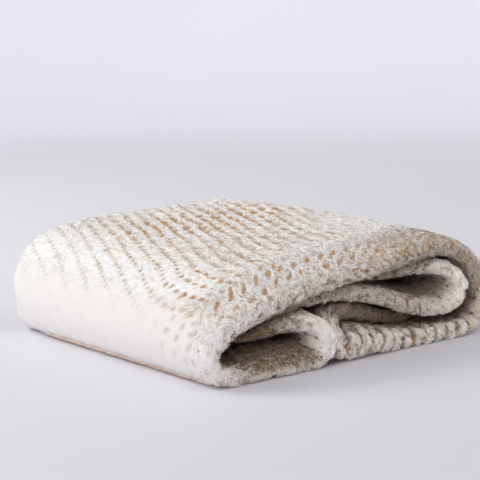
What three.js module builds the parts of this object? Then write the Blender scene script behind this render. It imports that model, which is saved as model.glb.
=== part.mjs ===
import * as THREE from "three";

// A chunky knitted throw, folded in half along its length and then folded over and over into a
// soft pack. It is one cloth: the rounded fold of the doubled cloth faces the front, -Y, and the
// two loose edges lie at the back. The pack rests on its lowest layers at z = 0, and the origin
// lies on the floor under the middle of it.

// Sizes in mm. In the tables below, x runs from the near bottom corner of the front.
const DEPTH = 415; // front folds to loose back edges
const PLY = 10; // most thickness of one ply
const SLOT = 0.8; // least space between the two plies of the doubled cloth
const LEFT_X = -28; // outermost left
const RIGHT_X = 412; // outermost right
const CORNER = 70; // rounding radius of the back corners, seen from above
const ROLL_DEPTH = 38; // how far behind the front the roll reaches
const SWELL_DEPTH = 32; // how far behind its front fold the cloth swells to its full thickness
const TUCK = 36; // how far the floor layer is drawn in at the back on the left
const TUCK_HEIGHT = 45; // height up to which it is drawn in
const EDGE_WANDER = 2.5; // how far the front folds and loose edges stray to either side

const TURN_STEP = 0.24; // bend between two cross sections, radians
const LONG_STEP = 34; // most distance between two cross sections
const FACE_STEPS = 7; // steps from front to back
const CROWDING = 1.5; // how much closer together those steps are near the front, 1 for even ones
const LIP_STEPS = 6; // steps round the front fold
const EDGE_STEPS = 3; // steps round a loose back edge

// The middle of the doubled cloth along its folded path, seen from the front: x and z, set is how
// far the front fold stands back, thick is the doubled thickness there, and swell is how much
// thicker it gets behind the front, on the side of the hollows.
const [X, Z, SET, THICK, SWELL] = [0, 1, 2, 3, 4];
const PATH = [
  // the tucked end, lying over the floor layer
  [304, 26.6, 40, 8, 0],
  [299, 26.9, 40, 11.5, 0],
  [280, 28.4, 39, 13, 0],
  [258, 32.2, 36, 15.5, 0],
  [239, 36.4, 33, 17.5, 0],
  [218, 42, 29, 18, 0],
  [195, 48.2, 24, 18.5, 0],
  [176, 51.5, 19, 18, 0],
  // turn down to the floor
  [162, 49, 16, 18, 0],
  [154, 41, 14, 18.5, 0],
  [153.5, 31, 13, 19, 0],
  [158, 22.5, 12, 26, 0],
  [168, 20.3, 11, 38, 0],
  // floor layer on the right
  [180, 19.8, 10, 39.5, 0],
  [195, 18.3, 9, 36.6, 0],
  [218, 15.6, 7, 31.2, 0],
  [239, 13.2, 5.5, 26.3, 0],
  [258, 11.4, 4.5, 22.8, 0],
  [285, 10.3, 3.5, 20.5, 0],
  [320, 10, 3, 20, 0],
  [352, 10, 4, 20, 0],
  // large turn on the right
  [380, 14.5, 6, 20, 0],
  [397, 31, 8, 20, 0],
  [401, 54, 8, 20, 0],
  [390.5, 75, 6, 20, 0],
  [369.5, 94.5, 4, 20, 0],
  [343, 107.5, 2, 20, 0],
  // top layer
  [312, 112.5, 1, 20, 0],
  [270, 110, 0, 20, 0],
  [217, 104, 0, 20, 0],
  [156, 95, 0, 20, 0],
  [98, 85, 0, 20, 0],
  [49, 74.5, 0, 20, 0],
  [16, 63, 1, 20, 0],
  // turn on the left
  [-8, 48.5, 3, 20, 4],
  [-17.5, 31, 5, 20, 8],
  [-12, 16.3, 3, 20, 9],
  [4, 10, 1, 20, 9],
  // floor layer on the left
  [40, 10.8, 0, 21.6, 8],
  [80, 11.5, 0, 23, 8],
  [110, 11.5, 0, 23, 8],
  // turn up and back inside the hollow
  [126, 16, 1, 20, 5],
  [133, 29, 2, 18.5, 4],
  [127, 43, 5, 17.5, 4.5],
  [108, 49.2, 12, 16.5, 5],
  // arch over the hollow
  [88, 48, 17, 14.5, 5],
  [66, 45, 21, 12.5, 4],
  [47, 41.6, 24, 10, 2],
  // small turn inside the left turn
  [37, 39.6, 26, 8, 0],
  [29, 38.8, 27, 6.5, 0],
  [23, 40.8, 28, 5.5, 0],
  [21.5, 45.2, 28, 5, 0],
  [26.5, 49.8, 28, 5, 0],
  [37, 52.2, 27, 7.5, 0],
  // second layer under the top
  [50, 55, 26, 11, 0],
  [68, 59.9, 25, 14, 0],
  [86, 64, 24, 15.5, 0],
  [106, 67.3, 22, 16.5, 0],
  [130, 70.7, 18, 17, 0],
  [156, 73.8, 14, 18, 0],
  [186, 73, 9, 18.5, 0],
  [215, 67, 6, 18.5, 0],
  [243, 59, 4, 19, 3],
  [272, 50, 3, 19, 6],
  [306, 43.5, 2, 19, 7],
  // inner turn
  [330, 43.5, 2, 19, 6],
  [348.5, 51, 2, 19, 3],
  [355, 64, 2, 19, 1],
  [346, 77, 4, 18, 3],
  [328, 85.5, 9, 16.5, 7],
  // last layer, ending under the top
  [300, 88.5, 15, 16, 7],
  [272, 87.5, 20, 15, 4],
  [245, 84.8, 25, 14, 2],
  [222, 82.8, 29, 12, 0],
  [212, 82, 30, 7, 0],
];

// Extra share of the height for each x: rise grows evenly to the very back, and roll comes on soon
// behind the front, where the cloth rolls over.
const [AT, BACK_RISE, ROLL] = [0, 1, 2];
const RISE = [
  [-30, 0.3, 0],
  [20, 0.4, 0.05],
  [87, 0.27, 0.1],
  [140, 0.165, 0.11],
  [204, 0.055, 0.1],
  [279, 0.015, 0.08],
  [330, 0.07, 0.05],
  [370, 0.1, 0.025],
  [412, 0.08, 0],
];

// Soft unevenness of the pile: wave lengths along x and y, where each wave starts, and its share
// of the height.
const [WAVE_X, WAVE_Y, START, SHARE] = [0, 1, 2, 3];
const WAVES = [
  [430, 520, 0.9, 0.02],
  [310, 390, 2.4, 0.011],
];

// Rows of the path joined by a smooth curve, close together where the cloth bends.
function pathSamples() {
  const points = PATH.map((row) => new THREE.Vector3(row[X], row[Z], 0));
  const curve = new THREE.CatmullRomCurve3(points, false, "centripetal");
  const last = PATH.length - 1;
  const samples = [];
  for (let i = 0; i < last; i += 1) {
    const from = curve.getTangent(i / last);
    const to = curve.getTangent((i + 1) / last);
    const bends = Math.ceil(from.angleTo(to) / TURN_STEP);
    const steps = Math.max(1, bends, Math.ceil(points[i].distanceTo(points[i + 1]) / LONG_STEP));
    for (let k = 0; k < steps; k += 1) {
      samples.push(sampleAt(curve, i, k / steps));
    }
  }
  samples.push(sampleAt(curve, last - 1, 1));
  return samples;
}

function sampleAt(curve, i, share) {
  const last = PATH.length - 1;
  const point = curve.getPoint((i + share) / last);
  const blend = (column) => THREE.MathUtils.lerp(PATH[i][column], PATH[i + 1][column], share);
  return { x: point.x, z: point.y, set: blend(SET), thick: blend(THICK), swell: blend(SWELL) };
}

// How far the loose edges stand in at the two back corners.
function cornerInset({ x, z }) {
  const reach = CORNER - Math.min(x - LEFT_X, RIGHT_X - x, CORNER);
  const low = Math.max(1 - z / TUCK_HEIGHT, 0);
  const left = Math.max(1 - (x - LEFT_X) / CORNER, 0);
  return CORNER - Math.sqrt(CORNER ** 2 - reach ** 2) + TUCK * low * left;
}

// The pack stands taller towards its back, while the layers on the floor stay there.
function curveOf(column) {
  return new THREE.SplineCurve(RISE.map((row) => new THREE.Vector2(row[AT], row[column])));
}
const riseCurve = curveOf(BACK_RISE);
const rollCurve = curveOf(ROLL);
function shareAt(curve, x) {
  const after = Math.min(Math.max(RISE.findIndex((row) => row[AT] > x), 1), RISE.length - 1);
  const [from, to] = [RISE[after - 1][AT], RISE[after][AT]];
  const share = THREE.MathUtils.clamp((x - from) / (to - from), 0, 1);
  return curve.getPoint((after - 1 + share) / (RISE.length - 1)).y;
}

function waveAt(x, y) {
  const turns = (row) => Math.sin(2 * Math.PI * (x / row[WAVE_X] + y / row[WAVE_Y]) + row[START]);
  return WAVES.reduce((sum, row) => sum + row[SHARE] * turns(row), 0);
}

function heightAt(sample, y) {
  const seat = sample.thick / 2;
  const rise = shareAt(riseCurve, sample.x) * Math.sin((Math.PI / 2) * (y / DEPTH));
  const roll = shareAt(rollCurve, sample.x) * (1 - Math.exp(-((y / ROLL_DEPTH) ** 2)));
  return seat + (sample.z - seat) * (1 + rise + roll + waveAt(sample.x, y));
}

// The edges stray a little from layer to layer.
function wanderAt(sample, start) {
  return EDGE_WANDER * Math.sin(sample.x / 41 + sample.z / 19 + start);
}

// The doubled cloth cut across its path: y from the front, h up from its middle. It runs along the
// underside, round one loose edge, along the slot and back, and over the upper side to the fold.
function crossSection(sample) {
  const half = sample.thick / 2;
  const slot = Math.max(SLOT, sample.thick - 2 * PLY);
  const ply = (sample.thick - slot) / 2;
  const front = sample.set + wanderAt(sample, 0);
  const fold = front + half;
  const back = DEPTH - cornerInset(sample) - ply / 2 + wanderAt(sample, 2);
  const swellAt = (y) => sample.swell * (1 - Math.exp(-((Math.max(y - fold, 0) / SWELL_DEPTH) ** 2)));
  const outline = [];
  const face = (start, h, swells) => {
    const points = [];
    for (let k = 1; k < FACE_STEPS; k += 1) {
      const y = THREE.MathUtils.lerp(start, back, (k / FACE_STEPS) ** CROWDING);
      points.push({ y, h: swells ? h + swellAt(y) : h });
    }
    return points;
  };
  const round = (y, h, radius, from, to, steps) => {
    for (let k = 0; k <= steps; k += 1) {
      const angle = THREE.MathUtils.lerp(from, to, k / steps);
      outline.push({ y: y + radius * Math.cos(angle), h: h + radius * Math.sin(angle) });
    }
  };
  const edge = (slot + ply) / 2;
  round(fold, 0, half, Math.PI / 2, Math.PI * 1.5, LIP_STEPS);
  outline.push(...face(fold, -half, false));
  round(back, -edge, ply / 2, -Math.PI / 2, Math.PI / 2, EDGE_STEPS);
  outline.push(...face(front + ply, -slot / 2, false).reverse());
  outline.push({ y: front + ply, h: -slot / 2 });
  outline.push({ y: front + ply, h: slot / 2 });
  outline.push(...face(front + ply, slot / 2, true));
  round(back, edge + swellAt(back), ply / 2, -Math.PI / 2, Math.PI / 2, EDGE_STEPS);
  outline.push(...face(fold, half, true).reverse());
  return outline;
}

// One ring of points: each stands off the middle of the cloth, square to its path.
function ring(samples, i, outline) {
  const before = samples[Math.max(i - 1, 0)];
  const after = samples[Math.min(i + 1, samples.length - 1)];
  return outline.map(({ y, h }) => {
    const dx = after.x - before.x;
    const dz = heightAt(after, y) - heightAt(before, y);
    const length = Math.hypot(dx, dz);
    const x = samples[i].x - (h * dz) / length;
    const z = heightAt(samples[i], y) + (h * dx) / length;
    return [x, y, Math.max(z, 0)];
  });
}

// A cut end is closed piece by piece, so that each bit of it keeps close to its cross section.
function endCells() {
  const lowerSlot = LIP_STEPS + 2 * FACE_STEPS + EDGE_STEPS;
  const upperSlot = lowerSlot + 1;
  const upperEdge = upperSlot + FACE_STEPS;
  const count = upperEdge + EDGE_STEPS + FACE_STEPS;
  const stretch = (from, to) => Array.from({ length: to - from + 1 }, (_, k) => from + k);
  const cells = [
    [...stretch(0, LIP_STEPS), lowerSlot, upperSlot],
    stretch(LIP_STEPS + FACE_STEPS, LIP_STEPS + FACE_STEPS + EDGE_STEPS),
    stretch(upperEdge, upperEdge + EDGE_STEPS),
  ];
  for (let k = 0; k < FACE_STEPS; k += 1) {
    const lower = LIP_STEPS + k;
    cells.push([lower, lower + 1, lowerSlot - k - 1, lowerSlot - k]);
    cells.push([upperSlot + k, upperSlot + k + 1, count - k - 1, (count - k) % count]);
  }
  return cells;
}

function clothGeometry() {
  const samples = pathSamples();
  const outlines = samples.map(crossSection);
  const rings = samples.map((_, i) => ring(samples, i, outlines[i]));
  const count = outlines[0].length;
  const index = [];
  for (let i = 0; i + 1 < rings.length; i += 1) {
    for (let k = 0; k < count; k += 1) {
      const a = i * count + k;
      const b = i * count + ((k + 1) % count);
      index.push(a, b, b + count, a, b + count, a + count);
    }
  }
  const ends = [0, rings.length - 1];
  ends.forEach((i) => {
    const contour = outlines[i].map(({ y, h }) => new THREE.Vector2(y, h));
    endCells().forEach((cell) => {
      const corners = cell.map((k) => contour[k]);
      THREE.ShapeUtils.triangulateShape(corners, []).forEach((face) => {
        const turned = i === 0 ? face.reverse() : face;
        index.push(...turned.map((k) => i * count + cell[k]));
      });
    });
  });
  const geometry = new THREE.BufferGeometry();
  geometry.setAttribute("position", new THREE.Float32BufferAttribute(rings.flat(2), 3));
  geometry.setIndex(index);
  geometry.computeBoundingBox();
  const middle = geometry.boundingBox.getCenter(new THREE.Vector3());
  geometry.translate(-middle.x, -middle.y, 0);
  geometry.computeVertexNormals();
  return geometry;
}

const creamKnit = new THREE.MeshStandardMaterial({ color: 0xefe9dc, roughness: 0.95, metalness: 0 });
const cloth = new THREE.Mesh(clothGeometry(), creamKnit);
cloth.name = "throw";

const part = new THREE.Group();
part.name = "knitted_throw";
part.add(cloth);

export default part;
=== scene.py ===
import math

import bpy
import numpy as np
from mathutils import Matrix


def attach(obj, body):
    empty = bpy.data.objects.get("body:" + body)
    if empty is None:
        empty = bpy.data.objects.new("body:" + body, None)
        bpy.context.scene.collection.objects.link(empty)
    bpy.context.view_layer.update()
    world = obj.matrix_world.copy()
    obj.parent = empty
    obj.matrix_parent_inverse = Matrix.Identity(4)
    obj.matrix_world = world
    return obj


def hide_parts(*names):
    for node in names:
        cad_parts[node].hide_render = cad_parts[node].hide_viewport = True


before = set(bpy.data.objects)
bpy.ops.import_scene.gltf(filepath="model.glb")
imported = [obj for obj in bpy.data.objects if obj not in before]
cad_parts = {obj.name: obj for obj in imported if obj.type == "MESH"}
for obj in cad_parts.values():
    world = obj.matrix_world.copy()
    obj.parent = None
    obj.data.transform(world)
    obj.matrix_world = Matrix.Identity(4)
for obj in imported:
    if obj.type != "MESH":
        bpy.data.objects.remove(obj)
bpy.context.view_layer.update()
scene = bpy.context.scene
scene.view_settings.view_transform = "Standard"

# Camera: a long lens, a little above the pack and turned to its near corner, so that the folded
# front and the smooth left side both show.
CAMERA_PLACE = (-1.0289, -1.1979, 0.3454)
CAMERA_DOWN, CAMERA_TURN = 8.4965, -40.495
lens = bpy.data.cameras.new("camera")
lens.lens = 100
lens.sensor_width = 36
camera = bpy.data.objects.new("camera", lens)
camera.location = CAMERA_PLACE
camera.rotation_euler = (math.radians(90 - CAMERA_DOWN), 0, math.radians(CAMERA_TURN))
scene.collection.objects.link(camera)
scene.camera = camera

# Light: a very broad light from above, a soft one from the left of the camera, a weak broad one
# from its right, and a large soft lamp behind on the left. The first three have the way to the
# light, its strength, and how many degrees of the sky it fills.
SUNS = [
    ("top_light", (0, 0, 1), 1.22, 90),
    ("low_light", (-0.78, -0.50, 0.40), 1.7, 30),
    ("right_light", (0.65, -0.65, 0.35), 0.7, 60),
]


def aimed(name, kind, away, energy):
    """A lamp whose light comes from the given direction."""
    lamp = bpy.data.lights.new(name, kind)
    lamp.energy = energy
    holder = bpy.data.objects.new(name, lamp)
    turn = math.atan2(away[1], away[0]) + math.pi / 2
    holder.rotation_euler = (math.acos(away[2] / math.hypot(*away)), 0, turn)
    scene.collection.objects.link(holder)
    return holder


for name, away, energy, spread in SUNS:
    aimed(name, "SUN", away, energy).data.angle = math.radians(spread)
back_light = aimed("back_light", "AREA", (-1.5, 1.6, 1.55), 33)
back_light.data.size = 1.3
back_light.location = (-1.5, 1.6, 1.6)
surround = bpy.data.worlds.new("surround")
surround.use_nodes = True
glow = surround.node_tree.nodes["Background"].inputs
glow["Color"].default_value = (0.80, 0.79, 0.86, 1)
glow["Strength"].default_value = 0.03
scene.world = surround

# Floor: a plain sweep of pale matt paper, faintly uneven in tone. It lies flat under the pack and
# turns up in a wide curve far behind it.
FLAT_RINGS = (0.8, 1.6, 2.4, 3.2)
CURVE, CURVE_SPAN, CURVE_STEPS = 1.4, (0.1, 1.5), 12
FLOOR_SIDES = 64


class Field:
    """The output of a shader node, which adds, multiplies and feeds further nodes."""

    def __init__(self, tree, socket=None):
        self.tree = tree
        self.socket = socket

    def node(self, kind, inputs=(), output=0, **settings):
        made = self.tree.nodes.new(kind)
        for name, value in settings.items():
            setattr(made, name, value)
        for key, value in dict(inputs).items():
            if isinstance(value, Field):
                self.tree.links.new(value.socket, made.inputs[key])
            else:
                made.inputs[key].default_value = value
        return Field(self.tree, made.outputs[output])

    def noise(self, scale, detail):
        return self.node("ShaderNodeTexNoise", {"Vector": self, "Scale": scale, "Detail": detail})

    def attribute(self, name):
        return self.node("ShaderNodeAttribute", output="Fac", attribute_name=name)

    def mix(self, first, second):
        """From the first colour to the second, by this value."""
        inputs = {"Factor": self, "A": first, "B": second}
        return self.node("ShaderNodeMix", inputs, output="Result", data_type="RGBA")

    def maths(self, operation, first, second):
        return self.node("ShaderNodeMath", {0: first, 1: second}, operation=operation)

    def __add__(self, other):
        return self.maths("ADD", self, other)

    def __radd__(self, other):
        return self.maths("ADD", other, self)

    def __sub__(self, other):
        return self.maths("SUBTRACT", self, other)

    def __rsub__(self, other):
        return self.maths("SUBTRACT", other, self)

    def __mul__(self, other):
        return self.maths("MULTIPLY", self, other)

    def __rmul__(self, other):
        return self.maths("MULTIPLY", other, self)


def new_material(name, roughness, sheen):
    """A plain material, its shader and a Field of the places on its piece."""
    made = bpy.data.materials.new(name)
    made.use_nodes = True
    shader = made.node_tree.nodes["Principled BSDF"]
    shader.inputs["Roughness"].default_value = roughness
    shader.inputs["Sheen Weight"].default_value = sheen
    return made, shader, Field(made.node_tree).node("ShaderNodeTexCoord", output="Object")


def feed(shader, name, field):
    field.tree.links.new(field.socket, shader.inputs[name])


def ring_faces(rings, count):
    """Faces between closed rings of points that follow one another."""
    faces = []
    for near in range(0, (rings - 1) * count, count):
        far = near + count
        for k in range(count):
            after = (k + 1) % count
            faces.append((near + k, near + after, far + after, far + k))
    return faces


def new_piece(name, points, faces, material):
    mesh = bpy.data.meshes.new(name)
    mesh.from_pydata(points.tolist(), [], faces)
    mesh.polygons.foreach_set("use_smooth", [True] * len(mesh.polygons))
    mesh.materials.append(material)
    mesh.update()
    piece = bpy.data.objects.new(name, mesh)
    scene.collection.objects.link(piece)
    return piece


floor_material, floor_shader, floor_place = new_material("floor_paper", roughness=0.6, sheen=0)
paper = floor_place.noise(scale=1.5, detail=2.0)
feed(floor_shader, "Base Color", paper.mix((0.77, 0.76, 0.815, 1), (0.79, 0.78, 0.835, 1)))
sweep = [(0.0, 0.0)] + [(r, 0.0) for r in FLAT_RINGS]
for a in np.linspace(*CURVE_SPAN, CURVE_STEPS):
    sweep.append((FLAT_RINGS[-1] + CURVE * math.sin(a), CURVE - CURVE * math.cos(a)))
around = np.linspace(0, 2 * math.pi, FLOOR_SIDES, endpoint=False)
floor_points = np.array([(r * math.cos(a), r * math.sin(a), z) for r, z in sweep for a in around])
floor = new_piece("floor", floor_points, ring_faces(len(sweep), FLOOR_SIDES), floor_material)

# The cloth: one length of very thick wool knit, doubled along its length and folded over and over.
# It is knitted by hand on thick needles from soft roving, so the ply is about 10 mm thick. Here it
# is a tan ground of painted warm shade that shows in the depths between the stitches, where the
# cream wool lies in shadow.
# Sizes in mm: x and z of the middle of the doubled cloth, how far the front fold stands back, the
# doubled thickness and how much the inner ply swells, along the path from the tucked end.
PATH = np.array([
    # tucked end and its turn down to the floor
    (304, 26.6, 40, 8, 0), (299, 26.9, 40, 11.5, 0), (280, 28.4, 39, 13, 0),
    (258, 32.2, 36, 15.5, 0), (239, 36.4, 33, 17.5, 0), (218, 42, 29, 18, 0),
    (195, 48.2, 24, 18.5, 0), (176, 51.5, 19, 18, 0), (162, 49, 16, 18, 0), (154, 41, 14, 18.5, 0),
    (153.5, 31, 13, 19, 0), (158, 22.5, 12, 26, 0), (168, 20.3, 11, 38, 0),
    # floor layer on the right and the large turn
    (180, 19.8, 10, 39.5, 0), (195, 18.3, 9, 36.6, 0), (218, 15.6, 7, 31.2, 0),
    (239, 13.2, 5.5, 26.3, 0), (258, 11.4, 4.5, 22.8, 0), (285, 10.3, 3.5, 20.5, 0),
    (320, 10, 3, 20, 0), (352, 10, 4, 20, 0), (380, 14.5, 6, 20, 0), (397, 31, 8, 20, 0),
    (401, 54, 8, 20, 0), (390.5, 75, 6, 20, 0), (369.5, 94.5, 4, 20, 0), (343, 107.5, 2, 20, 0),
    # top layer and the turn on the left
    (312, 112.5, 1, 20, 0), (270, 110, 0, 20, 0), (217, 104, 0, 20, 0), (156, 95, 0, 20, 0),
    (98, 85, 0, 20, 0), (49, 74.5, 0, 20, 0), (16, 63, 1, 20, 0), (-8, 48.5, 3, 20, 4),
    (-17.5, 31, 5, 20, 8), (-12, 16.3, 3, 20, 9), (4, 10, 1, 20, 9),
    # floor layer on the left, the turn inside the hollow and the arch
    (40, 10.8, 0, 21.6, 8), (80, 11.5, 0, 23, 8), (110, 11.5, 0, 23, 8), (126, 16, 1, 20, 5),
    (133, 29, 2, 18.5, 4), (127, 43, 5, 17.5, 4.5), (108, 49.2, 12, 16.5, 5),
    (88, 48, 17, 14.5, 5), (66, 45, 21, 12.5, 4), (47, 41.6, 24, 10, 2),
    # small turn and the second layer
    (37, 39.6, 26, 8, 0), (29, 38.8, 27, 6.5, 0), (23, 40.8, 28, 5.5, 0), (21.5, 45.2, 28, 5, 0),
    (26.5, 49.8, 28, 5, 0), (37, 52.2, 27, 7.5, 0), (50, 55, 26, 11, 0), (68, 59.9, 25, 14, 0),
    (86, 64, 24, 15.5, 0), (106, 67.3, 22, 16.5, 0), (130, 70.7, 18, 17, 0),
    (156, 73.8, 14, 18, 0), (186, 73, 9, 18.5, 0), (215, 67, 6, 18.5, 0), (243, 59, 4, 19, 3),
    (272, 50, 3, 19, 6), (306, 43.5, 2, 19, 7),
    # inner turn and the last layer
    (330, 43.5, 2, 19, 6), (348.5, 51, 2, 19, 3), (355, 64, 2, 19, 1), (346, 77, 4, 18, 3),
    (328, 85.5, 9, 16.5, 7), (300, 88.5, 15, 16, 7), (272, 87.5, 20, 15, 4),
    (245, 84.8, 25, 14, 2), (222, 82.8, 29, 12, 0), (212, 82, 30, 7, 0),
])
# At each x: how much higher the layers lie at the back, and behind the rolled front fold.
RISE = np.array([
    (-30, 0.3, 0), (20, 0.4, 0.05), (87, 0.27, 0.1), (140, 0.165, 0.11), (204, 0.055, 0.1),
    (279, 0.015, 0.08), (330, 0.07, 0.05), (370, 0.1, 0.025), (412, 0.08, 0),
])
# Slow waves of the layers: length in x and in y, start, and share of the height.
WAVES = [(430, 520, 0.9, 0.02), (310, 390, 2.4, 0.011)]
DEPTH = 415
PLY, SLOT = 10, 0.8
LEFT_X, RIGHT_X, CORNER = -28, 412, 70
TUCK, TUCK_HEIGHT = 36, 45
ROLL_DEPTH, SWELL_DEPTH = 38, 32
WANDER, WANDER_X, WANDER_Z, WANDER_LAG = 2.5, 41, 19, 2
SINK = 3.8
END_SHOWS = 5
PATH_STEPS, RISE_STEPS, STATIONS, PROBE = 40, 20, 420, 1.5
TURN_POINTS, EDGE_POINTS, SLOT_POINTS = 13, 7, 27
METRES = 0.001


def through(points, knot_power, steps):
    """A smooth curve through the points, with evenly many steps between each two."""
    padded = np.vstack([2 * points[0] - points[1], points, 2 * points[-1] - points[-2]])
    share = np.linspace(0, 1, steps, endpoint=False)[:, None]
    curve = []
    for p0, p1, p2, p3 in zip(padded, padded[1:], padded[2:], padded[3:]):
        d0, d1, d2 = (np.hypot(*(b - a)) ** knot_power for a, b in ((p0, p1), (p1, p2), (p2, p3)))
        m1 = ((p1 - p0) / d0 - (p2 - p0) / (d0 + d1) + (p2 - p1) / d1) * d1
        m2 = ((p2 - p1) / d1 - (p3 - p1) / (d1 + d2) + (p3 - p2) / d2) * d1
        t2, t3 = share**2, share**3
        curve.append(
            (2 * t3 - 3 * t2 + 1) * p1
            + (t3 - 2 * t2 + share) * m1
            + (3 * t2 - 2 * t3) * p2
            + (t3 - t2) * m2
        )
    return np.vstack([*curve, points[-1:]])


path = through(PATH[:, :2], 0.5, PATH_STEPS)
rows = np.arange(len(path)) / PATH_STEPS
set_back, thick, swell = (np.interp(rows, np.arange(len(PATH)), PATH[:, k]) for k in (2, 3, 4))
along = np.concatenate([[0], np.cumsum(np.hypot(*np.diff(path, axis=0).T))])
rise_curve = through(RISE[:, :2], 0, RISE_STEPS)
roll_curve = through(RISE[:, ::2], 0, RISE_STEPS)


def bell(value, middle, width):
    """1 in the middle, and falling off on both sides."""
    return np.exp(-(((value - middle) / width) ** 2))


def height_at(s, y):
    x = np.interp(s, along, path[:, 0])
    seat = np.interp(s, along, thick) / 2
    rise = np.interp(x, rise_curve[:, 0], rise_curve[:, 1])
    wave = sum(w * np.sin(2 * np.pi * (x / a + y / b) + c) for a, b, c, w in WAVES)
    roll = np.interp(x, roll_curve[:, 0], roll_curve[:, 1])
    factor = 1 + rise * np.sin(np.pi / 2 * y / DEPTH) + wave + roll * (1 - bell(y, 0, ROLL_DEPTH))
    return seat + (np.interp(s, along, path[:, 1]) - seat) * factor


def off_middle(s, y, h):
    """The point at distance s along the path and y from the front, h off the middle of the cloth,
    and the direction in which h grows. A positive h is the outside of the pack."""
    before, after = np.maximum(s - PROBE, 0), np.minimum(s + PROBE, along[-1])
    dx = np.interp(after, along, path[:, 0]) - np.interp(before, along, path[:, 0])
    dz = height_at(after, y) - height_at(before, y)
    length = np.hypot(dx, dz)
    out_x, out_z = dz / length, -dx / length
    x = np.interp(s, along, path[:, 0]) + h * out_x
    z = height_at(s, y) + h * out_z
    return np.stack([x, y, z], -1), np.stack([out_x, np.zeros_like(out_x), out_z], -1)


def edges_at(s):
    """Half thickness, ply, middle of the front fold and middle of the loose edges."""
    x, z = np.interp(s, along, path[:, 0]), np.interp(s, along, path[:, 1])
    full = np.interp(s, along, thick)
    ply = (full - np.maximum(SLOT, full - 2 * PLY)) / 2
    sway = x / WANDER_X + z / WANDER_Z
    front = np.interp(s, along, set_back) + WANDER * np.sin(sway)
    reach = CORNER - np.minimum(np.minimum(x - LEFT_X, RIGHT_X - x), CORNER)
    inset = CORNER - np.sqrt(CORNER**2 - reach**2)
    low, left = np.maximum(1 - z / TUCK_HEIGHT, 0), np.maximum(1 - (x - LEFT_X) / CORNER, 0)
    inset = inset + TUCK * low * left
    back = DEPTH - inset - ply / 2 + WANDER * np.sin(sway + WANDER_LAG)
    return full / 2, ply, front + full / 2, back


def swell_at(s, behind):
    """How far the inner ply swells, at a distance behind the middle of the front fold."""
    return np.interp(s, along, swell) * (1 - bell(np.maximum(behind, 0), 0, SWELL_DEPTH))


def ring_of(s, sink):
    """One closed outline of the doubled cloth, sunk below its faces: round the front fold, then on
    the outside to the loose edge and into the slot, and the same way back on the inside."""
    half, ply, fold, back = edges_at(s)
    sink = min(sink, ply / 2)
    turn = np.linspace(np.pi / 2, 1.5 * np.pi, TURN_POINTS)
    cap = np.linspace(-np.pi / 2, np.pi / 2, EDGE_POINTS)
    run = np.linspace(0, 1, SLOT_POINTS + 1)[1:]
    deep = fold - half + ply
    edge = (ply - sink) / 2
    outer_y, slot_y = fold + (back - fold) * run[:-1], back + (deep - back) * run
    outer_h, slot_h = np.full(len(outer_y), sink - half), np.full(len(slot_y), ply - half)
    y = np.concatenate([outer_y, back + edge * np.cos(cap), slot_y])
    h = np.concatenate([outer_h, (ply + sink) / 2 - half + edge * np.sin(cap), slot_h])
    inner_h = swell_at(s, np.minimum(y, back) - fold) - h
    whole_y = np.concatenate([fold + (half - sink) * np.cos(turn), y, y[::-1]])
    return whole_y, np.concatenate([(half - sink) * np.sin(turn), h, inner_h[::-1]])


stations = np.linspace(0, along[-1], STATIONS)


def outlines(sink):
    """The points of all the outlines along the path."""
    rings = []
    for station in stations:
        y, h = ring_of(station, sink)
        rings.append(off_middle(np.full(len(y), station), y, -h)[0])
    return np.concatenate(rings)


full_size = outlines(0)
MIDDLE = np.array([*(full_size.min(0) + full_size.max(0))[:2] / 2, 0])


def settle(points):
    """From mm with the corner as origin to metres in the frame, on the floor."""
    moved = (points - MIDDLE) * METRES
    moved[..., 2] = np.maximum(moved[..., 2], 0)
    return moved


def mark(piece, name, values):
    """Keep a value for each point of a piece, which its material reads."""
    piece.data.attributes.new(name, "FLOAT", "POINT").data.foreach_set("value", values)


ground_material, ground_shader, ground_place = new_material("knit_ground", roughness=1.0, sheen=0.2)
fibres = ground_place.noise(scale=450.0, detail=4.0)
# The ground is painted warm shade, darker and lighter at random. Where the pieces mark it loose, at
# the slot and the ends, it is the cream of the wool.
gap_shade_tone = fibres.mix((0.28, 0.165, 0.07, 1), (0.56, 0.36, 0.16, 1))
end_tone = ((fibres - 0.5) * 3 + 0.5).mix((0.60, 0.48, 0.36, 1), (0.97, 0.95, 0.925, 1))
feed(ground_shader, "Base Color", fibres.attribute("loose").mix(gap_shade_tone, end_tone))

cloth_points = outlines(SINK)
count = len(cloth_points) // STATIONS
cloth_faces = ring_faces(STATIONS, count)
cloth_faces += [tuple(range(count))[::-1], tuple(range(len(cloth_points)))[-count:]]
cloth = new_piece("throw_cloth", settle(cloth_points), cloth_faces, ground_material)
# The slot and the two ends are cream. The slot is midway in what follows the front fold.
at_end = np.minimum(stations, along[-1] - stations)[:, None] < END_SHOWS
from_slot = np.abs(np.arange(count) - (count + TURN_POINTS - 1) / 2)
in_slot = from_slot < EDGE_POINTS + SLOT_POINTS
mark(cloth, "loose", (at_end | in_slot).ravel() * 1.0)
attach(cloth, "root")
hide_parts("throw")

# The knit: a fine skin of stitches on the faces of the cloth. The roving is loosely spun, so its
# strands are soft and wind round the gaps between them, where the ground's painted warm shade
# shows.
chance = np.random.default_rng(27)
LUMP_GRID = 97, 89
LUMPS = chance.normal(0, 1, LUMP_GRID)
# A place is given by s, its distance along the path, and u, its distance from the tip of the front
# fold, which is below zero on the inside. q is its distance from the left corner to the right.
# A pair of numbers is where something begins to change and where it has changed.
WALE = 18.7
LIP, SLANT, SWAY = 6, 0.88, 36
DRIFT = [0, 66, 106, 136, 436], [2, -18, -18, -12, 114]
FAR, GAP_RIM, GAP_LUMP, LUMP_SCALE, OUT_OF_STEP = 9.0, (0.6, 1.35), 24, 97, 0.618


def distance_at(row):
    """Distance along the path at a row of its table."""
    return np.interp(row, rows, along)


def row_at(s):
    return np.interp(s, along, rows)


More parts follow.
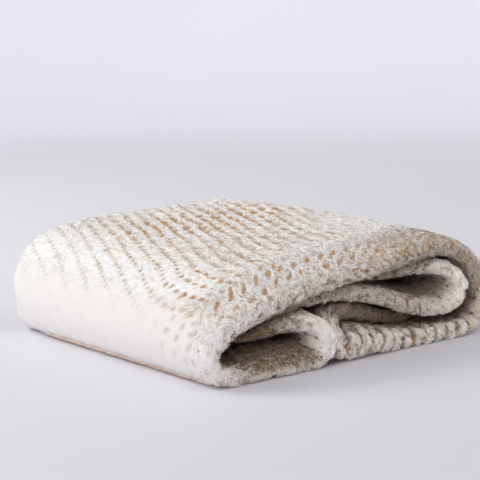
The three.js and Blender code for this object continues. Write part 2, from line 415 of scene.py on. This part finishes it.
# Rows of the table.
TURN_DOWN, LEFT_TURN, HOLLOW_TURN, INNER_TURN = 10, 35, 42.2, 67
base_from, top_from, corner_s, top_to, floor_end = distance_at((11.5, 22.5, 33, 36.6, 40))


def ease(value, start, end):
    """From 0 at the start to 1 at the end, without corners."""
    share = np.clip((value - start) / (end - start), 0, 1)
    return share * share * (3 - 2 * share)


def within(value, rise, fall):
    """1 between a rise and a fall, and 0 outside them."""
    return ease(value, *rise) * (1 - ease(value, *fall))


def uneven(s, u, cell):
    """Soft unevenness of the wool, in lumps of about one cell."""
    i, j = np.floor(s / cell).astype(int), np.floor(u / cell).astype(int)
    a, b = ease(s / cell - i, 0, 1), ease(u / cell - j, 0, 1)
    wide, deep = LUMP_GRID
    corner = [LUMPS[(i + di) % wide, (j + dj) % deep] for dj in (0, 1) for di in (0, 1)]
    near = corner[0] * (1 - a) + corner[1] * a
    return near * (1 - b) + (corner[2] * (1 - a) + corner[3] * a) * b


def gaps(wale, row, wide, long, loose):
    """Gaps between the stitches, one in each row of each wale. In a loose knit the wales are out of
    step, otherwise there is a gap midway between each four as well."""
    off = np.full(wale.shape, FAR)
    for shift in (0,) if loose else (0, 0.5):
        a, b = wale + shift, row + shift
        b = b + loose * OUT_OF_STEP * np.round(a)
        off = np.minimum(off, np.hypot((a - np.round(a)) / wide, (b - np.round(b)) / long))
    rough = 1 + 0.3 * uneven(LUMP_SCALE * wale, LUMP_SCALE * row, GAP_LUMP)
    return 1 - ease(off * rough, *GAP_RIM)


def wale_at(s, u):
    """Which wale of the top a place lies on. The wales run to the back, and bend at the corner."""
    return (corner_s - s - np.interp(u, *DRIFT)) / WALE + 0.07 * uneven(s, u, SWAY)


FRONT_ROW, FRONT_REACH, REACH_FADE = 42, 62, 20
LIP_CLOSED, TALLER = (5, 14), (30, 60)
CORNER_CLOSED, CORNER_SMALL, CORNER_SHORT = (-32, -6), (0, 70), (-45, 5)
RIGHT_SHORT, RIGHT_FAINT = (60, 160), (130, 260)


def front_gaps(s, u):
    """Upright gaps along the front of the top, smaller at the corner and fainter on the right."""
    q, v = corner_s - s, u - LIP
    aslant = (q - SLANT * v) / WALE + 0.06 * uneven(s, u, SWAY)
    row = v / FRONT_ROW + 0.1 * uneven(u, s, SWAY)
    size = 0.7 + 0.3 * ease(q, *CORNER_SMALL)
    tall = 0.13 + 0.06 * ease(u, *TALLER)
    reach = FRONT_REACH - 15 * ease(q, *RIGHT_SHORT) - 36 * (1 - ease(q, *CORNER_SHORT))
    shown = within(u, LIP_CLOSED, (reach, reach + REACH_FADE)) * ease(q, *CORNER_CLOSED)
    shown = shown * (1 - 0.55 * ease(q, *RIGHT_FAINT))
    return shown * gaps(aslant, row, 0.2 * size, tall * size, 0)


BACK_ROW = 27
BACK_WIDER, BEHIND_FRONT = (100, 170), (70, 110)
PATCH_ACROSS, PATCH_DEEP = (195, 120), (280, 70)
MIDDLE_PART = (20, 60), (210, 290)


def back_gaps(s, u):
    """Long gaps between the wales, wide open in a patch at the back and faint in the middle."""
    q, v = corner_s - s, u - LIP
    wide = 0.16 + 0.08 * ease(q, *BACK_WIDER)
    patch = bell(q, *PATCH_ACROSS) * bell(v, *PATCH_DEEP)
    middle = within(q, *MIDDLE_PART) * ease(u, *BEHIND_FRONT)
    row = v / BACK_ROW + 0.2 * uneven(u, s, SWAY)
    return np.maximum(1.9 * patch, 0.34 * middle) * gaps(wale_at(s, u), row, wide, 0.38, 1)


STITCHES = [0, 130, 440], [0, 8.7, 41]
LEFT_LINES, LINES_FROM = ((-38, 8), (40, 80)), (50, 75)
LINES_NARROW, LINES_FAINT, LINES_FAINTER = (110, 190), (100, 180), (230, 330)
DOWN_WALE, DOWN_START, DOWN_ROW = 21.25, 0.34, 10.5
DOWN_DEEP, DOWN_ACROSS = ((8, 16), (70, 120)), ((-64, -36), (-8, 8))


def left_gaps(s, u):
    """Small gaps in lines along the left edge of the top, and down the turn at its corner."""
    q, v = corner_s - s, u - LIP
    wander = 0.1 * uneven(u, s, SWAY)
    wide = 0.12 + 0.05 * (1 - ease(u, *LINES_NARROW))
    small = gaps(wale_at(s, u), np.interp(v, *STITCHES) + wander, wide, 0.27, 1)
    small = small * within(q, *LEFT_LINES) * ease(u, *LINES_FROM)
    small = small * (0.95 - 0.15 * ease(u, *LINES_FAINT)) * (1 - 0.3 * ease(u, *LINES_FAINTER))
    down = gaps(v / DOWN_WALE + DOWN_START + wander, q / DOWN_ROW, 0.17, 0.3, 1)
    return np.maximum(small, 0.36 * down * within(u, *DOWN_DEEP) * within(q, *DOWN_ACROSS))


TOP_PART = (top_from - 20, top_from + 40), (top_to - 10, top_to + 10)
LEFT_PART = (corner_s - 25, corner_s + 45), (top_to + 20, top_to + 40)
LEFT_FROM = (10, 60)
BASE_PART = (base_from - 18, base_from - 5), (top_from - 60, top_from)


def top_at(s, u):
    """How much of the top a place is."""
    return within(s, *TOP_PART) * (u > 0)


def left_at(s, u):
    """How much of the smooth left face a place is."""
    return within(s, *LEFT_PART) * ease(u, *LEFT_FROM)


def base_at(s):
    """How much of the floor layer on the right a place is."""
    return within(s, *BASE_PART)


STRAND, STRAND_GROOVE, STRAND_ENDS = 18.5, (0.06, 0.21), (20, 34)
RIB, RIB_GROOVE, RIB_FROM, RIB_PART = 12.5, (0.05, 0.25), (120, 200), ((-6, 4), (30, 46))
RIGHT_PART, RIGHT_FROM = ((330, 390), (450, 480)), (50, 80)


def groove(value, width):
    """1 in the grooves between strands, which lie at the whole numbers."""
    return 1 - ease(np.abs(value - np.round(value)), *width)


def open_at(s, u):
    """How open the knit is: its gaps on the top and on the right turn, those between the thick
    strands that run over the edge of the floor layer, and those between the ribs of the top's."""
    q = corner_s - s
    top = np.maximum.reduce([front_gaps(s, u), back_gaps(s, u), left_gaps(s, u)])
    on_top = np.clip(top, 0, 1) * top_at(s, u)
    strand = (s + 0.1 * u) / STRAND + 0.1 * uneven(s, u, 12)
    on_floor = groove(strand, STRAND_GROOVE) * base_at(s) * (1 - ease(np.abs(u), *STRAND_ENDS))
    rib = (s - 0.6 * u) / RIB + 0.12 * uneven(s, u, 10)
    beside = groove(rib, RIB_GROOVE) * ease(q, *RIB_FROM) * (s > top_from) * within(u, *RIB_PART)
    right = gaps(wale_at(s, u), u / BACK_ROW, 0.16, 0.36, 1)
    right = right * within(q, *RIGHT_PART) * ease(u, *RIGHT_FROM)
    return np.maximum.reduce([on_top, on_floor, 0.88 * beside, 0.45 * right])


MEETING = (0, 8), (25, 45)


def side_by_side(s):
    """Where the turn in the hollow and the turn down lie side by side."""
    return bell(row_at(s), TURN_DOWN, 1.5) + bell(row_at(s), HOLLOW_TURN, 1.3)


def meeting(s, u):
    """How far the wool swells there, so that the two turns touch."""
    return 3.2 * side_by_side(s) * within(u, *MEETING)


UNCOVERED = (base_from - 20, base_from + 20), distance_at((40, 41))
TUCKED = distance_at((7.6, 9.2))
ARCH = distance_at((45, 47.5)), distance_at((55, 58))
HOLLOW = 42.5, 2
LOOSE_EDGE = (290, 350)


def inside(s, u):
    """How deep inside the pack the wool lies, where little light reaches it."""
    covered = np.where(u > 0, 1 - within(s, *UNCOVERED), 1)
    turn = bell(row_at(s), *HOLLOW)
    back = covered * ease(np.abs(u), 9 + 14 * turn, 38 + 18 * turn)
    tucked = 1 - ease(s, *TUCKED)
    most = np.maximum.reduce([back, 0.9 * tucked, 0.7 * within(s, *ARCH)])
    return most * (1 - 0.9 * ease(np.abs(u), *LOOSE_EDGE))


EDGE_FADE = (22, 60)
FLOOR_LEFT = distance_at((36.5, 38)), distance_at((40, 41.5))
FLOOR_LEFT_DEEP = (-8, 6), (60, 120)
FAR_LEFT, FAR_LEFT_FROM = (0, 90), (60, 120)
HOLLOW_IN, BASE_EDGE, LEFT_EDGE = (-38, -14), (18, 34), (14, 46)
LONG_WAY, CROSS_WAY, DRAWN, GRAIN, LUMP = (0.232, -0.386), (0.857, 0.516), 4.0, 4.4, 9
PIT_RISE, VALLEY_END, RIB_BENDS = (0, 0.7), (230, 310), (60, 170)
FLOOR_LINE, FLOOR_LINE_END = distance_at((36.2, 36.35)), (290, 360)
INNER_ROWS, LOW_ROWS = (44, 46), (35.3, 36.2)
LIP_LEFT, LIP_RIGHT, LIP_END, LIP_PART = (20, 60), (150, 260), (400, 430), ((-20, -5), (40, 75))
RIGHT_TURN, RIGHT_TURN_EDGE = ((20, 21.5), (25.5, 27)), (5, 30)
# Painted shading runs from painted light, below zero, to full painted shade.
SHADING_RANGE = -0.5, 1


def relief(s, u):
    """What the wool is like at a place: how far its skin stands off the face of the cloth, high on
    the strands and sunk in the gaps, how much painted shade its skin and its fibres take (below
    zero, painted light), how smooth it is, how far it lies on a turn, and how bare of fibres it is."""
    on_top, on_left, on_base = top_at(s, u), left_at(s, u), base_at(s)
    pit, q, row = open_at(s, u), corner_s - s, row_at(s)
    edge = 1 - ease(np.abs(u), *EDGE_FADE)
    flat, lip = on_top * (1 - edge), np.maximum(edge, 1 - on_top)
    wales = np.cos(2 * np.pi * wale_at(s, u))
    # The floor of the left hollow, on its inside, is painted in shade.
    floor_left = within(s, *FLOOR_LEFT) * within(-u, *FLOOR_LEFT_DEEP)
    # The far left of the top faces the light and is painted lighter, with fewer specks of painted
    # shade and fewer fibres.
    far_left = on_top * (1 - on_left) * (1 - ease(q, *FAR_LEFT)) * ease(u, *FAR_LEFT_FROM)

    # The turn in the hollow, the inner turn, the front edge of the floor layer and the left turn
    # are painted lighter, where they catch the light, with fewer specks of painted shade.
    turns = 1.5 * bell(row, HOLLOW_TURN, 1.6) * ease(u, *HOLLOW_IN) + 1.2 * bell(row, INNER_TURN, 3)
    turns = turns + 0.3 * on_base * (1 - ease(np.abs(u), *BASE_EDGE))
    turns = turns + 1.15 * bell(row, LEFT_TURN, 1.4) * (1 - ease(np.abs(u), *LEFT_EDGE))

    drawn_s, drawn_u = (a * q + b * u for a, b in (LONG_WAY, CROSS_WAY))
    grain = uneven(drawn_s, drawn_u, DRAWN) * flat + uneven(s, u, GRAIN) * (1 - flat)
    # Dark specks of painted shade in the crevices between the loops: fewer on the top and on the
    # turns, more on the hollow's floor, none on the left face.
    rare = 0.1 + 0.15 * flat - 0.9 * floor_left + 0.2 * turns
    deep = ease(-grain - rare, *PIT_RISE) * (0.55 + 0.4 * lip)
    deep = deep * (1 - on_left) * (1 - 0.6 * far_left)
    # The valleys between the wales sink and take a little painted shade, less on the far left.
    valley = (0.5 + 0.5 * wales) ** 2 * flat * (1 - on_left)
    valley = valley * (1 - ease(q, *VALLEY_END)) * ease(u, *BEHIND_FRONT)
    lumps = (0.5 * uneven(s, u, LUMP) + (0.55 + 0.4 * lip) * grain) * (1 - 0.75 * on_left)
    bent = ease(u, *RIB_BENDS)
    ribs = np.cos(2 * np.pi * (q - SLANT * u) / WALE) * (1 - bent) - 0.8 * wales * bent
    lift = -0.6 + lumps + 0.5 * ribs * on_left + meeting(s, u)
    lift = lift - (1 + 3 * lip) * pit - (0.3 + 1.2 * lip) * deep - 0.9 * valley

    # A thin peach line of painted warm glow where the left face meets the floor.
    floor_line = on_left * ease(s, *FLOOR_LINE) * (1 - ease(u, *FLOOR_LINE_END))
    # The inner layers, tucked inside, are painted in shade, all but the inner turn.
    inner = 0.4 * ease(row, *INNER_ROWS) * (1 - 0.9 * bell(row, INNER_TURN, 3))
    # The lip of the top is painted in shade towards the right, where less light falls, its fibres
    # more than its skin.
    lip_right = (0.12 * ease(q, *LIP_LEFT) + 0.88 * ease(q, *LIP_RIGHT)) * within(u, *LIP_PART)
    lip_right = lip_right * (1 - ease(q, *LIP_END))
    # The inside of the right turn is painted a touch lighter. Its warm shade is painted on its own
    # fibres.
    right_turn = within(row, *RIGHT_TURN) * (1 - ease(u, *RIGHT_TURN_EDGE))
    # The bottom of the left face, where it turns under, is painted lighter against its shade.
    low = on_left * ease(row, *LOW_ROWS) * (1 - floor_line)
    # Painted shading: painted shade in the gaps, deep inside the pack, on the inner layers, in the
    # valleys, on the hollow's floor and on the right of the lip. Painted light on the far left, on
    # the turns, at the bottom of the left face and a touch on the right turn.
    fibre_shading = 1.2 * pit + inside(s, u) + inner + 0.15 * valley * (1 - far_left) - 0.3 * far_left
    fibre_shading = fibre_shading + 0.6 * floor_left - 0.4 * turns
    fibre_shading = fibre_shading + 0.48 * lip_right - 0.05 * right_turn - 0.14 * low
    # The skin adds the specks of painted shade, the painted warm glow at the floor and more painted
    # shade on the hollow's floor. It takes less painted shade on the right of the lip than its
    # fibres.
    painted_shading = fibre_shading - 0.25 * lip_right + 0.8 * deep + 0.15 * floor_line + 0.4 * floor_left
    return {
        "lift": lift,
        "painted_shading": np.clip(painted_shading, *SHADING_RANGE),
        "fibre_shading": np.clip(fibre_shading, *SHADING_RANGE),
        "smooth": on_left * (1 - floor_line),
        "turns": turns,
        "bare": np.maximum(deep * (1 - 0.4 * floor_left), far_left),
    }


def on_face(s, u, lift):
    """The point on the face of the doubled cloth: u runs from the tip of the front fold over the
    outside to its loose edge, and below zero over the inside. Also the way out of the cloth."""
    half, ply, fold, back = edges_at(s)
    side = np.sign(u)
    run = np.abs(u)
    lip = np.minimum(run / half, np.pi / 2)
    y = fold + np.maximum(run - half * np.pi / 2, 0)
    edge = np.clip((y - back) / (ply / 2), 0, np.pi)
    y = np.minimum(y, back)
    y_face = y - (half + lift) * np.cos(lip) + (ply / 2 + lift) * np.sin(edge)
    h_edge = half - ply / 2 + (ply / 2 + lift) * np.cos(edge)
    h = side * np.where(edge > 0, h_edge, (half + lift) * np.sin(lip))
    points, outward = off_middle(s, y_face, h - (u < 0) * swell_at(s, y - fold))
    normal = outward * (side * np.sin(lip) * np.cos(edge))[..., None]
    normal[..., 1] += np.sin(edge) - np.cos(lip)
    return points, normal


# The turn down beside the floor layer bulges forward, so it lies against the turn on its left: row
# of the table and mm.
BULGE = [(8, 0), (9, 5), (9.7, 9), (11, 10), (13, 8.5), (14, 6), (16, 3), (18, 0)]
BULGE_OUT, BULGE_IN, PRESSED, PRESS = (12, 45), (4, 24), (25, 60), 0.85


def on_knit(s, u, lift):
    """The point on the knit, as on the face of the cloth, and the way out of it."""
    points, normal = on_face(s, u, lift)
    fade = np.where(u > 0, 1 - ease(u, *BULGE_OUT), 1 - ease(-u, *BULGE_IN))
    points[..., 1] -= np.interp(row_at(s), *zip(*BULGE)) * fade
    half = np.interp(s, along, thick) / 2
    pressed = side_by_side(s) * (u > 0) * (1 - ease(u, *PRESSED))
    points[..., 1] -= PRESS * pressed * half * (1 - np.cos(np.minimum(np.abs(u) / half, np.pi / 2)))
    normal[..., 1] -= pressed
    return points, normal


# The smooth left face takes this plain tone, dimmer than the cream, to offset the strong light that
# falls on it.
LIT_FACE_TONE = (0.74, 0.71, 0.685, 1)
SKIN_SCALE = 420


def wool(name, scale, spread, dark, light, deepest_shade, shade_tone):
    """Mottled wool, from a dark to a light tone, with painted shade, painted light where that is
    below zero, or a smooth tone where its pieces say so. The painted shade is mottled too, from its
    deepest tone to a common shade tone."""
    made, shader, place = new_material(name, roughness=0.95, sheen=0.35)
    fleece = place.noise(scale, detail=4.0)
    painted_shading, smooth = place.attribute("painted_shading"), place.attribute("smooth")
    # Below zero the painted shading is painted light, which lifts the tone.
    pale = painted_shading.maths("MAXIMUM", -1 * painted_shading, 0.0)
    mottle = (fleece - 0.5) * spread * (1 - smooth)
    mottled = (mottle + 0.55 + pale).mix(dark, light)
    evened = (smooth - 2 * pale).mix(mottled, LIT_FACE_TONE)
    shade_colour = ((fleece - 0.5) * 4 + 0.6).mix(deepest_shade, shade_tone)
    feed(shader, "Base Color", painted_shading.mix(evened, shade_colour))
    bump = mottle.node("ShaderNodeBump", {"Height": mottle, "Strength": 0.8, "Distance": 0.001})
    feed(shader, "Normal", bump)
    return made


def add_wool(name, points, faces, painted_shading, smooth, material):
    piece = new_piece(name, settle(points), faces, material)
    mark(piece, "painted_shading", painted_shading)
    mark(piece, "smooth", smooth)
    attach(piece, "root")


def knit_skin(name, patches, pitch, material):
    """Skin on some patches of the cloth's face, each from and to a distance along the path and from
    and to a distance from the front fold."""
    points, faces, shadings, smooths, count = [], [], [], [], 0
    for from_s, to_s, from_u, to_u in patches:
        s_line = np.linspace(from_s, to_s, round((to_s - from_s) / pitch) + 1)
        u_line = np.linspace(from_u, to_u, round((to_u - from_u) / pitch) + 1)
        s, u = np.meshgrid(s_line, u_line, indexing="ij")
        skin = relief(s, u)
        points.append(on_knit(s, u, skin["lift"])[0].reshape(-1, 3))
        shadings.append(skin["painted_shading"].ravel())
        smooths.append(skin["smooth"].ravel())
        index = count + np.arange(s.size).reshape(s.shape)
        corners = [index[:-1, :-1], index[1:, :-1], index[1:, 1:], index[:-1, 1:]]
        faces += np.stack(corners, -1).reshape(-1, 4).tolist()
        count += s.size
    points, shadings, smooths = (np.concatenate(a) for a in (points, shadings, smooths))
    add_wool(name, points, faces, shadings, smooths, material)


cream_wool = wool(
    "cream_wool", SKIN_SCALE, spread=3.0,
    dark=(0.66, 0.56, 0.46, 1), light=(0.97, 0.965, 0.96, 1),
    deepest_shade=(0.22, 0.12, 0.05, 1), shade_tone=(0.55, 0.32, 0.11, 1),
)
shaded_wool = wool(
    "shaded_wool", SKIN_SCALE, spread=3.0,
    dark=(0.60, 0.47, 0.34, 1), light=(0.975, 0.935, 0.89, 1),
    deepest_shade=(0.10, 0.06, 0.03, 1), shade_tone=(0.23, 0.14, 0.07, 1),
)
ROUND, FRONT_DEEP, BACK_IN, BACK_OUT = 432, 90, -280, 300
start, end = 1, along[-1] - 1
knit_skin("throw_knit_top", [(top_from, top_to, 0, ROUND)], 1.7, cream_wool)
on_floor = [(base_from, top_from, 0, ROUND), (top_to, floor_end, 0, ROUND)]
knit_skin("throw_knit_base", on_floor, 3.0, cream_wool)
knit_skin("throw_knit_front_in", [(start, end, -FRONT_DEEP, 0)], 1.9, shaded_wool)
folded_in = [(start, base_from, 0, FRONT_DEEP), (floor_end, end, 0, FRONT_DEEP)]
knit_skin("throw_knit_front_out", folded_in, 2.0, shaded_wool)
at_back = [(start, end, -ROUND, BACK_IN)]
at_back += [(start, base_from, BACK_OUT, ROUND), (floor_end, end, BACK_OUT, ROUND)]
knit_skin("throw_knit_back", at_back, 3.0, cream_wool)

# The fuzz: loose fibres of the roving that curl off the strands, each a narrow bent ribbon. They
# are drawn out of the strands by wear, so they stand thickest on the front fold and in its turns.
FUZZ_SCALE = 160
LENGTH, BEND, HEIGHT = (1.8, 4.0), 0.7, (0.2, 1)
WIDTH, TWIST, BROWN = (0.6, 1), 0.6, (0.25, 0.75)
STOPS, FIBRE_POINTS = ((0, -0.3), (1, 0.7), (2, 1.0)), 5
BALD = (0.1, 0.9)
TO_BACK = 1.57


def fuzz(name, many, patch, material, lie, stray, stand, wide, browner, shading_share, short=1.0):
    """Fibres on a patch of the face, which lie about one way and stand off it. Some share of them
    is browner, as painted shade among the fibres, and they take on some of the painted shading
    below.
    Short ones curl more."""
    from_s, to_s, from_u, to_u = patch
    s, u = chance.uniform(from_s, to_s, many), chance.uniform(from_u, to_u, many)
    length, turn = chance.uniform(*LENGTH, many) * short, chance.normal(lie, stray, many)
    bend, rise = chance.normal(0, BEND / short, many), chance.uniform(*HEIGHT, many) * stand
    width, roll = chance.uniform(*WIDTH, many) * wide, chance.normal(0, TWIST, many)
    shade = (chance.uniform(0, 1, many) < browner) * chance.uniform(*BROWN, many)
    below = relief(s, u)
    smooth = below["smooth"]
    keep = chance.uniform(0, 1, many) > np.maximum(1.1 * ease(smooth, *BALD), 0.85 * below["bare"])
    stops = []
    for reach, height in STOPS:
        stops.append((s, u, below["lift"] + height * rise))
        keep &= open_at(s, u) < 0.35 + 0.2 * reach
        s = np.clip(s + length * np.cos(turn + bend * reach), start, end)
        u = u + length * np.sin(turn + bend * reach)
    line, out = (np.stack(a, 1)[keep] for a in zip(*(on_knit(*stop) for stop in stops)))
    across = np.cross(out, np.gradient(line, axis=1))
    across /= np.linalg.norm(across, axis=-1, keepdims=True)
    roll, width = roll[keep, None, None], width[keep, None, None]
    across = (width * (np.cos(roll) * across + np.sin(roll) * out))[:, :2]
    ribbon = np.concatenate([line[:, :2] - across, line[:, :2] + across, line[:, 2:]], 1)
    root = np.arange(len(line))[:, None] * FIBRE_POINTS
    faces = (root + [0, 2, 3, 1]).tolist() + (root + [1, 3, 4]).tolist()
    # Each fibre's painted shading: some of the painted shading below, and the browner share's
    # painted shade, less on the turns that are painted lighter.
    tone = shading_share * below["fibre_shading"] + shade * (1 - smooth) * (1 - 0.5 * below["turns"])
    tone = np.clip(tone, *SHADING_RANGE)
    shadings, smooths = (np.repeat(a[keep], FIBRE_POINTS) for a in (tone, smooth))
    add_wool(name, ribbon.reshape(-1, 3), faces, shadings, smooths, material)


fuzz_wool = wool(
    "fuzz_wool", FUZZ_SCALE, spread=2.0,
    dark=(0.89, 0.865, 0.84, 1), light=(0.97, 0.975, 0.99, 1),
    deepest_shade=(0.24, 0.15, 0.08, 1), shade_tone=(0.36, 0.23, 0.12, 1),
)
shaded_fuzz = wool(
    "shaded_fuzz", FUZZ_SCALE, spread=2.0,
    dark=(0.90, 0.82, 0.73, 1), light=(0.975, 0.945, 0.905, 1),
    deepest_shade=(0.20, 0.125, 0.07, 1), shade_tone=(0.32, 0.20, 0.11, 1),
)
# Warm brown fibres of painted warm shade, for the inside of the right turn.
warm_shade_fuzz = wool(
    "warm_shade_fuzz", FUZZ_SCALE, spread=2.0,
    dark=(0.70, 0.56, 0.41, 1), light=(0.95, 0.85, 0.73, 1),
    deepest_shade=(0.24, 0.15, 0.08, 1), shade_tone=(0.40, 0.27, 0.15, 1),
)
# Peach fibres of painted warm glow for the bottom of the left face.
floor_glow_fuzz = wool(
    "floor_glow_fuzz", FUZZ_SCALE, spread=1.0,
    dark=(0.96, 0.76, 0.62, 1), light=(0.97, 0.84, 0.72, 1),
    deepest_shade=(0.55, 0.30, 0.14, 1), shade_tone=(0.65, 0.38, 0.18, 1),
)
top_span, right_span = distance_at((20.5, 36.4)), distance_at((20.8, 25.8))
floor_span = distance_at((36.2, 37.3))
fuzz(
    "throw_fuzz_top", 60000, (*top_span, 60, 425), fuzz_wool,
    lie=1.1, stray=0.5, stand=0.7, wide=0.45, browner=0.24, shading_share=0.9,
)
fuzz(
    "throw_fuzz_rim", 32000, (*top_span, 0, 75), fuzz_wool,
    lie=1.3, stray=0.7, stand=1.5, wide=0.4, browner=0.34, shading_share=0.7,
)
fuzz(
    "throw_fuzz_back_out", 9000, (start, end, 385, 428), fuzz_wool,
    lie=TO_BACK, stray=0.7, stand=1.2, wide=0.5, browner=0.25, shading_share=0.7,
)
fuzz(
    "throw_fuzz_back_in", 9000, (start, end, -428, -385), fuzz_wool,
    lie=-TO_BACK, stray=0.7, stand=1.2, wide=0.5, browner=0.25, shading_share=0.7,
)
fuzz(
    "throw_fuzz_front", 72000, (start, end, -45, 30), shaded_fuzz,
    lie=TO_BACK, stray=0.9, stand=1.7, wide=0.42, browner=0.42, shading_share=0.85, short=0.8,
)
# Fibres of painted warm shade inside the right turn.
fuzz(
    "throw_fuzz_right", 7000, (*right_span, -45, 0), warm_shade_fuzz,
    lie=TO_BACK, stray=0.7, stand=2.3, wide=0.45, browner=0.3, shading_share=0.85,
)
# Peach fibres of painted warm glow, lying out onto the floor over the contact shadow at the bottom
# of the left face.
fuzz(
    "throw_fuzz_floor", 12000, (*floor_span, 15, 390), floor_glow_fuzz,
    lie=TO_BACK, stray=0.12, stand=3.2, wide=0.6, browner=0, shading_share=0,
)
